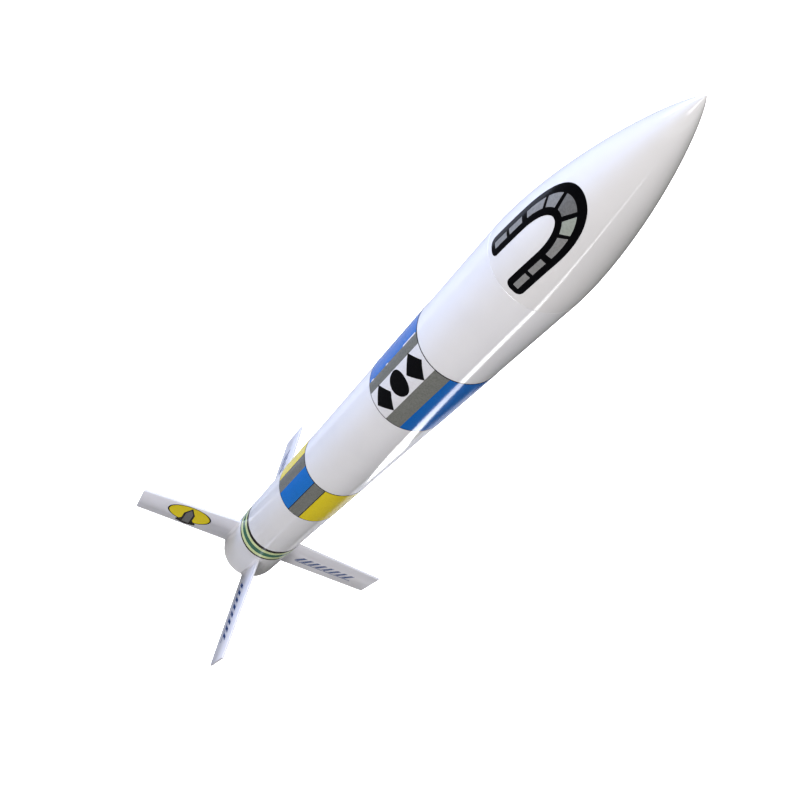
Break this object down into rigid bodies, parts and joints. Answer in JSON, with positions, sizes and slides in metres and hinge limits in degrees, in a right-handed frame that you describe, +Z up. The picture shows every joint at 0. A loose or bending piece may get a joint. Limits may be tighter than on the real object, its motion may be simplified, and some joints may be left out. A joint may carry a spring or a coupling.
{
  "type": "model rocket",
  "caption": "Model rocket with a slender body tube, ogive nose cone that lifts off, four thin fins, printed wrap bands, launch lugs and a retained motor.",
  "frame": {"origin": "centre of the tail, on the surface that the rocket stands on (fin trailing edges and tube rim)", "axes": "+Z up the rocket to the nose tip; fins 1 to 4 point along -X, -Y, +X and +Y, and the launch lugs lie between +X and +Y"},
  "size_m": [0.18, 0.18, 0.5574],
  "materials": {
    "painted_paper_tube": "gloss white enamel over a sealed paper tube",
    "painted_fin": "gloss white enamel over sealed 1.6 mm plywood",
    "nose_plastic": "blow-moulded polystyrene, gloss white enamel",
    "painted_paper_lug": "gloss white enamel over a paper tube",
    "kraft_paper_tube": "plain spiral-wound kraft paper",
    "plywood": "laser-cut birch plywood, unpainted",
    "green_fibre_ring": "vulcanised fibre ring",
    "retainer_plastic": "moulded black nylon",
    "motor_paper_case": "rolled kraft paper case",
    "pressed_clay": "pressed dry clay",
    "pressed_powder": "pressed black powder",
    "delay_powder": "pressed delay powder",
    "printed_film_upper": "printed gloss film in blue, grey and white",
    "printed_film_lower": "printed gloss film in yellow, grey and blue",
    "printed_film_tail": "printed gloss film in black, yellow and dark teal",
    "decal_film": "thin printed decal film",
    "anchor_paper": "folded card tab",
    "woven_elastic": "flat woven elastic",
    "parachute_film": "thin plastic film with thread shroud lines",
    "wadding_tissue": "flame-resistant tissue"
  },
  "bodies": {
    "airframe": {"body_tube": "painted_paper_tube", "fin_1": "painted_fin", "fin_2": "painted_fin", "fin_3": "painted_fin", "fin_4": "painted_fin", "motor_tube": "kraft_paper_tube", "centering_ring_aft": "plywood", "centering_ring_fwd": "plywood", "thrust_ring": "green_fibre_ring", "retainer_ring": "retainer_plastic", "launch_lug_aft": "painted_paper_lug", "launch_lug_fwd": "painted_paper_lug", "upper_band": "printed_film_upper", "lower_band": "printed_film_lower", "tail_band": "printed_film_tail", "shock_cord_anchor": "anchor_paper", "shock_cord": "woven_elastic", "parachute": "parachute_film", "recovery_wadding": "wadding_tissue"},
    "nose": {"nose_cone": "nose_plastic", "nose_base": "nose_plastic"},
    "motor": {"motor_case": "motor_paper_case", "clay_nozzle": "pressed_clay", "propellant_grain": "pressed_powder", "delay_grain": "delay_powder", "ejection_charge": "pressed_powder", "case_cap": "pressed_clay"},
    "retainer_cap": {"retainer_cap": "retainer_plastic"}
  },
  "joints": [
    {"name": "nose_lift", "type": "slide", "parent": "airframe", "child": "nose", "axis": [0, 0, 1], "range_m": [0, 0.1], "deforming": ["shock_cord"]},
    {"name": "motor_slide", "type": "slide", "parent": "airframe", "child": "motor", "axis": [0, 0, -1], "range_m": [0, 0.09]},
    {"name": "cap_turn", "type": "hinge", "parent": "motor", "child": "retainer_cap", "pos_m": [0, 0, 0.007], "axis": [0, 0, 1], "continuous": true}
  ]
}
